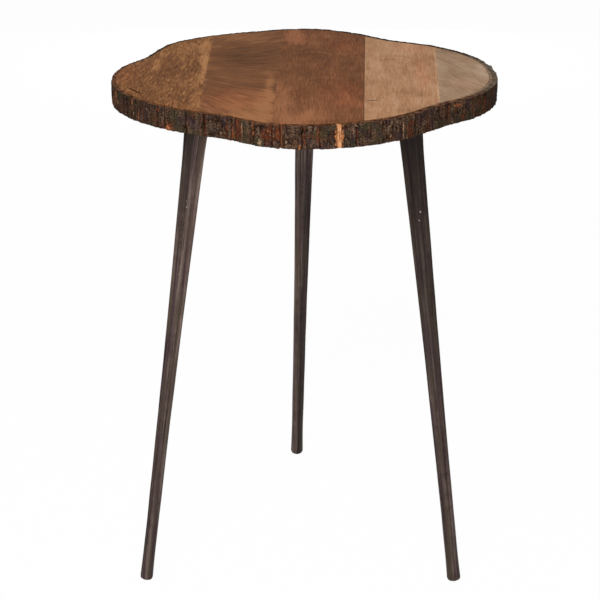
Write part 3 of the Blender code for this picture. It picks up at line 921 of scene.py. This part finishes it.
def panel_points():
    """Points on the boards' sawn edge, at mid-rim."""
    for number in range(1, BOARDS + 1):
        for vert in frame["nodes"][f"top_board_{number}"].data.vertices:
            between = UNDERSIDE + EASED_EDGE < vert.co.z < TABLE_TOP - EASED_EDGE
            if between and about_pole(vert.co)[1] > PANEL_LEAST:
                yield vert.co


def face_points():
    """Points on the outer faces of the bark strips, away from the strips' eased ends."""
    for number in range(1, STRIPS + 1):
        start, end = strip_span(number)
        low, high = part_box(strip_node(number))
        for vert in frame["nodes"][strip_node(number)].data.vertices:
            angle, radius = about_pole(vert.co)
            outer = radius > panel_radius(angle) + STRIP_INNER
            between = abs(angle_gap(angle, (start + end) / 2)) < (end - start) / 2 - STRIP_END
            if outer and between and low.z + EASED_EDGE < vert.co.z < high.z - EASED_EDGE:
                yield vert.co


def panel_radius(angle):
    return float(np.interp(angle % 360, *PANEL_RIM, period=360))


def face_radius(angle):
    return float(np.interp(angle % 360, *BARK_RIM, period=360))


PANEL_RIM = radius_table(panel_points())
BARK_RIM = radius_table(face_points())


def oval(angle, share, where, at, half, tall):
    """1 in the middle of an oval on the bark's face, 0 on its rim, less outside."""
    across = radians(angle_gap(angle, where)) * MEAN_RADIUS
    return 1.0 - (across / half)**2 - ((share - at) * RIM_HEIGHT / tall)**2


class BarkFace:
    """The weathered outer face of the bark, by angle and height: as seen at the front, drawn behind."""

    def __init__(self, draw):
        fissures, bared, flaked = list(FISSURES), list(BARED), list(FLAKED)
        angle, end = BEHIND
        while angle < end:
            warmth = draw.choice((0.0, 0.0, 0.0, 0.25, 0.35, 0.6, 0.9))
            fissures.append((angle % 360, draw.uniform(0.0006, 0.0013), draw.uniform(0.0009, 0.0027), warmth))
            if warmth > 0.2 or draw.random() < 0.2:
                bared.append(((angle + draw.uniform(-0.5, 0.5)) % 360, draw.uniform(0.15, 0.85),
                              draw.uniform(0.0009, 0.0034), draw.uniform(0.004, 0.012),
                              draw.uniform(0.2, 0.9)))
            if draw.random() < 0.25:
                flaked.append(((angle + draw.uniform(0.5, 2)) % 360, draw.random(), 0.0011,
                               draw.uniform(0.001, 0.004)))
            angle += draw.uniform(2.4, 5.0)
        self.fissures, self.bared, self.flaked = sorted(fissures), sorted(bared), sorted(flaked)

    @staticmethod
    def near(marks, angle, reach):
        """Marks within a reach of an angle, in degrees."""
        return marks[bisect_left(marks, (angle - reach,)):bisect_right(marks, (angle + reach,))]

    def fissured(self, angle, height):
        """Depth, painted shade, and amount and warmth of the bared edges that the nearby fissures give."""
        deep, dark, bare, warmth = 0.0, 0.0, 0.0, 0.0
        for where, half, depth, warm in self.near(self.fissures, angle, 1.6):
            seed = where * 7.31
            sway = 0.0011 * noise_at(seed, height * 150, 3) + 0.0005 * noise_at(seed, height * 520, 7)
            offset = radians(angle - where) * MEAN_RADIUS - sway
            opening = 0.62 + 0.80 * noise_at(seed, height * 120, 0)
            width = half * max(0.18, opening)
            core = max(0.0, 1.0 - (abs(offset) / width)**1.5)
            deep = max(deep, core * depth * max(0.25, opening))
            # Painted shade, darker the deeper the fissure
            dark = max(dark, min(1.0, 1.3 * core) * min(1.0, depth / FISSURE_SHADE_DEPTH))
            if warm:
                edge = max(0.0, 1.0 - abs(abs(offset) - 1.25 * width) / BARED_EDGE)
                side = 1.0 if offset > 0 else 5.0
                torn = noise_at(seed + 9, height * 210, side) + 0.7 * noise_at(seed + 4, height * 680, side)
                edge *= ease(torn, -0.10, 0.40)
                if edge > bare:
                    bare = edge
                    warmth = warm * (0.40 + 0.60 * ease(noise_at(seed, height * 330, side), -0.3, 0.3))
        return deep, dark, bare, warmth

    def bare_at(self, angle, share, point):
        """Amount and warmth of bared inner bark in patches."""
        bare, warmth = 0.0, 0.0
        for *mark, warm in self.near(self.bared, angle, 3.0):
            ragged = RAGGED * rough(point, 560, 300)
            amount = ease(oval(angle, share, *mark) + ragged, 0.05, 0.70)
            if amount > bare:
                bare, warmth = amount, warm
        return bare, warmth

    def flaked_at(self, angle, share, point):
        """Amount of pale dry fibre."""
        return max((ease(oval(angle, share, *mark) + RAGGED * rough(point, 780), 0.1, 0.7)
                    for mark in self.near(self.flaked, angle, 2.0)), default=0.0)


def seam_shift(angle, start, end, height):
    """How far a point near a strip's end moves round: closing up, or ragged where the seam gapes."""
    shift = 0.0
    for seam, side in ((start, -1), (end, 1)):
        inward = abs(radians(angle - seam)) * MEAN_RADIUS
        reach = SEAM_CLOSE
        if any(abs(angle_gap(seam, gaping)) < 1.2 for gaping, _ in GAPING):
            reach = SEAM_TEAR * noise_at(seam, height * 260, 0) + 0.0002
        shift += side * reach * ease(inward, SEAM_EASE, 0.0)
    return shift


BARK_LAYERS = ("fissure_shade", "hollow_shade", "bared", "warmth", "flaked", "sawn", "lip", "tan", "sap", "burl")


def make_bark(number, finish, face):
    """One strip of bark: plates, fissures and ragged rims worked into its outer face, its ends closed up."""
    strip = copy_of(strip_node(number), f"rough_bark_{number:02d}")
    apply_modifier(strip, 'REMESH', mode='VOXEL', voxel_size=BARK_VOXEL)
    start, end = strip_span(number)
    moved, rows = [], []
    for vert in strip.data.vertices:
        point, level = vert.co, vert.normal.z
        angle, radius = about_pole(point)
        outward = Vector((cos(radians(angle)), sin(radians(angle)), 0))
        outness = vert.normal.dot(outward)
        facing, inner = ease(outness, 0.05, 0.7), ease(-outness, 0.05, 0.7)
        share = (point.z - UNDERSIDE) / RIM_HEIGHT
        skin = Vector((outward.x * MEAN_RADIUS, outward.y * MEAN_RADIUS, point.z))

        lump, plate = half_rough(skin, 85), half_rough(skin, 260, 110)
        wrinkle, grit = half_rough(skin, 170, 560), half_rough(skin, 820)
        # dark is the painted shade deep in the nearby fissures
        deep, dark, edge, edge_warmth = face.fissured(angle, point.z)
        rim = ease(share, 0.93, 1.0) + ease(share, 0.07, 0.0)
        worn = LUMPS * lump + PLATES * plate**2 + WRINKLES * wrinkle + GRIT * grit + TORN_RIM * rim * plate
        burl = max(0.0, oval(angle, share, *BURL) + 0.7 * rough(skin, 420))
        target = face_radius(angle) - (worn + deep - BARK_PROUD) + BURL_PROUD * min(1.0, burl)
        reach = radius + (target - radius) * facing - RING_CLOSE * inner
        wound = angle if abs(angle - (start + end) / 2) < 180 else angle - 360
        turned = radians(angle) + seam_shift(wound, start, end, point.z) / MEAN_RADIUS
        top = TABLE_TOP - TOUCH - TOP_LUMPS * lump**2 - TOP_PLATES * plate
        height = point.z + (top - point.z) * ease(level, 0.4, 0.8)
        height += (UNDERSIDE + UNDER_PLATES * plate - height) * ease(-level, 0.4, 0.8)
        moved.append(in_box((TOP_POLE.x + reach * cos(turned), TOP_POLE.y + reach * sin(turned), height)))

        bare, warmth = face.bare_at(angle, share, point)
        if edge > bare:
            bare, warmth = edge, edge_warmth
        sawn = ease(abs(level), 0.6, 0.9)
        sap, outer = 0.0, 1.0
        if level > 0.4:
            beyond = radius - panel_radius(angle)
            sap = ease(beyond, 1.15 * SAPWOOD, 0.85 * SAPWOOD) * beside(angle, *SAP_SIDE)
            outer = ease(beyond, 0.0030, 0.0050)
        # The hollow layer is painted shade, darker where the relief sinks deeper
        rows.append((facing * min(1.0, dark), facing * ease(worn, 0.0013, 0.0024),
                     bare * (1 - sawn) * (1 - 0.8 * dark), warmth,
                     face.flaked_at(angle, share, point) * (1 - sawn), sawn,
                     beside(angle, *LIP_SIDE), beside(angle, *TAN_SIDE), sap, outer * ease(burl, 0.0, 0.4)))
    move_vertices(strip.data, moved)
    paint(strip.data, BARK_LAYERS, rows)
    smooth(strip, 60)
    hand_over(strip, finish, "bark", strip_node(number))


def make_inner_bark(number, finish):
    """Fibrous inner bark in a gaping seam."""
    node = f"inner_bark_{number}"
    bast = copy_of(node, f"bast_{number}")
    apply_modifier(bast, 'REMESH', mode='VOXEL', voxel_size=BAST_VOXEL)
    moved = []
    for vert in bast.data.vertices:
        point = vert.co
        outward = Vector((point.x - TOP_POLE.x, point.y - TOP_POLE.y, 0)).normalized()
        facing = ease(vert.normal.dot(outward), 0.05, 0.75)
        inward = BAST_FIBRES * (rough(point, 900, 70) - 1) + BAST_TEARS * rough(point, 250, 190)
        moved.append(point - outward * inward * facing)
    move_vertices(bast.data, moved)
    paint(bast.data, ("fresh",), [(GAPING[number - 1][1],)] * len(moved))
    smooth(bast, 60)
    hand_over(bast, finish, "inner_bark", node)


# Legs

def leg_ends(node):
    """Middles of a leg's foot and top faces."""
    points = vertex_array(frame["nodes"][node].data)
    ends = []
    for height in (points[:, 2].min(), points[:, 2].max()):
        face = points[np.abs(points[:, 2] - height) < TOUCH]
        ends.append(Vector(((face.min(0) + face.max(0)) / 2).tolist()))
    return ends


def ring_height(share):
    """Height of a ring, closer together near the foot."""
    return LEG_TOP * (share - 0.012 * sin(2 * pi * share)) if share < 1 else LEG_TOP


def leg_rings(name):
    """An upright cylinder of unit height, cut into rings."""
    bpy.ops.mesh.primitive_cylinder_add(vertices=LEG_SIDES, radius=0.01, depth=1, location=(0, 0, 0.5))
    leg = bpy.context.active_object
    leg.name = name
    settle(leg)

    def upright(edge):
        low, high = end_heights(leg, edge)
        return high - low > 0.001

    for cuts in RING_CUTS:
        edit(leg, upright)
        bpy.ops.mesh.subdivide(number_cuts=cuts)
        leave_edit()
    return leg


def mark_at(marks, angle, height, radius):
    """How deep inside the nearest small mark a point lies, 0 outside."""
    depth = 0.0
    for where, level, half in marks:
        if abs(level - height) < half:
            across = radians(angle_gap(angle, where)) * radius
            depth = max(depth, 1 - hypot(across, height - level) / half)
    return depth


LEG_LAYERS = ("ridge_wear_and_highlight", "pit", "nick", "patina_and_shade", "along_leg")


def make_leg(name, ridge_angle, swell, left_patina_and_shade, right_patina_and_shade, finish, draw):
    """One cast leg: rings laid on the CAD leg, then facets hollowed, filed lengthwise, pitted and nicked."""
    node = f"leg_{name}"
    skin = copy_of(node, "leg_skin")
    foot, top = leg_ends(node)
    leg = leg_rings(f"cast_leg_{name}")
    pits = [(draw.uniform(0, 360), draw.uniform(0.03, 0.57), draw.uniform(0.0007, 0.0015))
            for _ in range(PITS)]
    pits += [(where, level, PIT_HALF) for where, level in PITTED[name]]
    moved, rows = [], []
    for vert in leg.data.vertices:
        height = ring_height(vert.co.z)
        angle = degrees(atan2(vert.co.y, vert.co.x))
        out = Vector((cos(radians(angle)), sin(radians(angle)), 0))
        inside = foot.lerp(top, min(LEG_TOP - 0.0002, max(0.0002, height)) / LEG_TOP)
        radius = (skin.ray_cast(inside, out)[1] - inside).length
        facet = (angle_gap(angle, ridge_angle) % (360 / FACETS)) / (180 / FACETS) - 1
        fade = ease(height, 0.02, 0.50)
        around = out * radius
        filed = half_rough(around, 420, 0.0, height * 8 + ridge_angle)
        lumps = half_rough(around, 60, 0.0, height * 22 + ridge_angle)
        pit = mark_at(pits, angle, height, radius)
        nick = mark_at(NICKS[name], angle, height, radius)
        inward = HOLLOW * (0.15 + 0.85 * fade) * (1 - facet**2) + FILE_MARKS * filed + CAST_LUMPS * lumps
        inward += PIT_DEPTH * pit + NICK_DEPTH * nick
        inward -= swell + FLARE * ease(height, LEG_TOP - FLARE_START, LEG_TOP)
        place = foot.lerp(top, height / LEG_TOP) + out * (radius - inward * ease(height, 0.0, 0.004))
        moved.append(in_box((place.x, place.y, height), 0.0))
        # Patina and painted shade, by side and height
        to_right = ease(out.x, -0.25, 0.25)
        patina_and_shade = [left + (right - left) * to_right for left, right in zip(left_patina_and_shade, right_patina_and_shade)]
        # First layer: the facet ridges, lighter from wear and a painted highlight
        rows.append((ease(abs(facet), 0.72, 1.0) * (0.25 + 0.75 * fade), min(1.0, 1.5 * pit),
                     min(1.0, 1.8 * nick), float(np.interp(height, PATINA_AND_SHADE_HEIGHTS, patina_and_shade)),
                     (around.x + ridge_angle, around.y, height)))
    move_vertices(leg.data, moved)
    paint(leg.data, LEG_LAYERS, rows)
    bpy.data.objects.remove(skin)
    smooth(leg, 40)
    hand_over(leg, finish, "leg_metal", node)
    return leg


def make_weld(name, leg, finish):
    """Weld bead where a leg meets its plate: a rippled ring round the leg's top."""
    points = vertex_array(leg.data)
    rim = points[np.abs(points[:, 2] - LEG_TOP) < MERGE]
    centre = (rim.min(0) + rim.max(0)) / 2
    angles = np.degrees(np.arctan2(rim[:, 1] - centre[1], rim[:, 0] - centre[0])) % 360
    order = np.argsort(angles)
    radii = np.hypot(rim[:, 0] - centre[0], rim[:, 1] - centre[1])[order]
    bpy.ops.mesh.primitive_torus_add(major_radius=BEAD_RING, minor_radius=BEAD_RADIUS, major_segments=160,
                                     minor_segments=12, location=(0, 0, 0))
    bead = bpy.context.active_object
    bead.name = f"weld_{name}"
    moved = []
    for vert in bead.data.vertices:
        angle = degrees(atan2(vert.co.y, vert.co.x)) % 360
        off = hypot(vert.co.x, vert.co.y) - BEAD_RING
        ripple = 0.80 + 0.20 * abs(sin(radians(angle) * BEAD_RIPPLES)) + 0.14 * rough(vert.co, 300, 0.0)
        radius = float(np.interp(angle, angles[order], radii, period=360)) + BEAD_OUT + off * ripple
        moved.append((centre[0] + radius * cos(radians(angle)), centre[1] + radius * sin(radians(angle)),
                      PLATE_LOW - BEAD_DROP + vert.co.z * ripple * BEAD_FLAT))
    move_vertices(bead.data, moved)
    smooth(bead, 60)
    hand_over(bead, finish, "plate_steel")


# Plates and screws

def make_plate(name, finish):
    """A mounting plate with its rims broken."""
    node = f"leg_plate_{name}"
    plate = copy_of(node, f"mounting_plate_{name}")
    merge_flat(plate)
    edit(plate)
    bpy.ops.mesh.edges_select_sharp(sharpness=radians(PLATE_SHARP))
    bpy.ops.mesh.bevel(offset=PLATE_EASE, segments=2, affect='EDGES')
    leave_edit()
    smooth(plate, 35)
    hand_over(plate, finish, "plate_steel", node)


def model_screw():
    """A pan-head wood screw standing on its head, its seat at zero height."""
    low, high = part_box("plate_screw_rear_1")
    head_radius = (high.x - low.x) / 2
    head_height = LEG_TOP - low.z
    length = high.z - LEG_TOP
    bpy.ops.mesh.primitive_cylinder_add(vertices=28, radius=head_radius, depth=head_height,
                                        location=(0, 0, -head_height / 2))
    screw = bpy.context.active_object
    settle(screw)
    edit(screw, lambda polygon: polygon.normal.z > 0.9, faces=True)
    bpy.ops.mesh.inset(thickness=head_radius - SHANK_RADIUS)
    for rise in (length - SCREW_TIP, SCREW_TIP):
        bpy.ops.mesh.extrude_region_move(TRANSFORM_OT_translate={"value": (0, 0, rise)})
    bpy.ops.transform.resize(value=(TIP_SHARE, TIP_SHARE, 1), center_override=(0, 0, length))
    leave_edit()

    edit(screw, lambda edge: end_heights(screw, edge)[1] < -head_height + MERGE)
    bpy.ops.mesh.bevel(offset=HEAD_ROUND, segments=4, affect='EDGES', profile=0.55)
    leave_edit()

    def shank_side(edge):
        bottom, top = end_heights(screw, edge)
        return bottom > -MERGE and top - bottom > 0.004

    edit(screw, shank_side)
    bpy.ops.mesh.subdivide(number_cuts=SHANK_CUTS)
    leave_edit()
    for vert in screw.data.vertices:
        radius = hypot(vert.co.x, vert.co.y)
        if vert.co.z > 0.001 and radius > 1e-6:
            turn = atan2(vert.co.y, vert.co.x) / (2 * pi)
            crest = 1 - abs(2 * ((vert.co.z / THREAD_PITCH - turn) % 1.0) - 1)
            fade = ease(vert.co.z, 0.0015, 0.004) * ease(vert.co.z, length, length - 0.002)
            grown = 1 + fade * THREAD_DEPTH * (crest**2 - 0.5) / radius
            vert.co.x *= grown
            vert.co.y *= grown
    for turn in (0, 90):
        bpy.ops.mesh.primitive_cube_add(size=1, location=(0, 0, -head_height), rotation=(0, 0, radians(turn)))
        cutter = bpy.context.active_object
        cutter.scale = (RECESS_REACH, RECESS_WIDTH, 2 * RECESS_DEPTH)
        settle(cutter)
        cut_with(screw, cutter)
    smooth(screw, 35)
    return screw


def make_screws(finish, draw):
    """Nine screws, each turned home to its own angle."""
    pattern = model_screw()
    for name, *_ in LEGS:
        for number in range(1, SCREWS + 1):
            node = f"plate_screw_{name}_{number}"
            low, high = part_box(node)
            middle = (low + high) / 2
            screw = into_scene(f"pan_screw_{name}_{number}", pattern.data.copy())
            screw.location = (middle.x, middle.y, LEG_TOP)
            screw.rotation_euler.z = draw.uniform(0, pi)
            settle(screw)
            hand_over(screw, finish, "screw_steel", node)
    bpy.data.objects.remove(pattern)


# Studio

def make_floor():
    """Pale floor, white where it is looked at, still taking the table's shadow. Clear from below."""
    bpy.ops.mesh.primitive_plane_add(size=FLOOR_SIZE, location=(0, 0, 0))
    floor = bpy.context.active_object
    floor.name = "studio_floor"
    surface = Finish("studio_white")
    diffuse = surface.add("ShaderNodeBsdfDiffuse", FLOOR_GREY)
    glow = surface.add("ShaderNodeEmission")
    white = surface.times(surface.seen(), FLOOR_WHITE)
    lit = surface.add("ShaderNodeMixShader", white, diffuse.outputs[0], glow.outputs[0])
    clear = surface.add("ShaderNodeBsdfTransparent")
    below = surface.add("ShaderNodeNewGeometry").outputs["Backfacing"]
    sided = surface.add("ShaderNodeMixShader", below, lit.outputs[0], clear.outputs[0])
    surface.tree.nodes.remove(surface.shader)
    surface.feed(surface.tree.nodes["Material Output"].inputs["Surface"], sided.outputs[0])
    floor.data.materials.append(surface.material)


def make_light():
    """Broad soft key from the front, a little left, a weak low fill from behind, and a white room."""
    for name, (place, aim, size, power) in LAMPS.items():
        lamp = bpy.data.lights.new(name, 'AREA')
        lamp.size = size
        lamp.energy = power
        holder = into_scene(name, lamp)
        holder.location = place
        holder.rotation_euler = (Vector(aim) - Vector(place)).to_track_quat('-Z', 'Y').to_euler()
    world = bpy.data.worlds.new("studio_room")
    world.use_nodes = True
    bpy.context.scene.world = world
    room = Nodes(world.node_tree)
    strength = room.add("ShaderNodeMapRange", room.seen(), 0.0, 1.0, ROOM_LIGHT, 1.0)
    background = room.tree.nodes["Background"]
    room.feed(background.inputs["Color"], (1, 1, 1))
    room.feed(background.inputs["Strength"], strength.outputs[0])


def make_camera():
    """The photograph's viewpoint: a long lens, a little above the table."""
    lens = bpy.data.cameras.new("photo_view")
    lens.lens = VIEW_LENS
    lens.sensor_width = VIEW_SENSOR
    camera = into_scene("photo_view", lens)
    camera.location = VIEW_PLACE
    camera.rotation_euler = (radians(90 - VIEW_DROP), 0, radians(VIEW_TURN))
    bpy.context.scene.camera = camera


def main():
    for number in range(1, BOARDS + 1):
        make_board(number)
    bark, face = bark_finish(), BarkFace(random.Random(BARK_SEED))
    for number in range(1, STRIPS + 1):
        make_bark(number, bark, face)
    bast = inner_bark_finish()
    for number in range(1, len(GAPING) + 1):
        make_inner_bark(number, bast)
    metal, paint_coat, bead, zinc = leg_finish(), plate_finish(), weld_finish(), screw_finish()
    draw = random.Random(LEG_SEED)
    for name, *casting in LEGS:
        leg = make_leg(name, *casting, metal, draw)
        make_weld(name, leg, bead)
        make_plate(name, paint_coat)
    make_screws(zinc, draw)
    make_floor()
    make_light()
    make_camera()
    bpy.context.scene.view_settings.view_transform = 'Standard'


main()
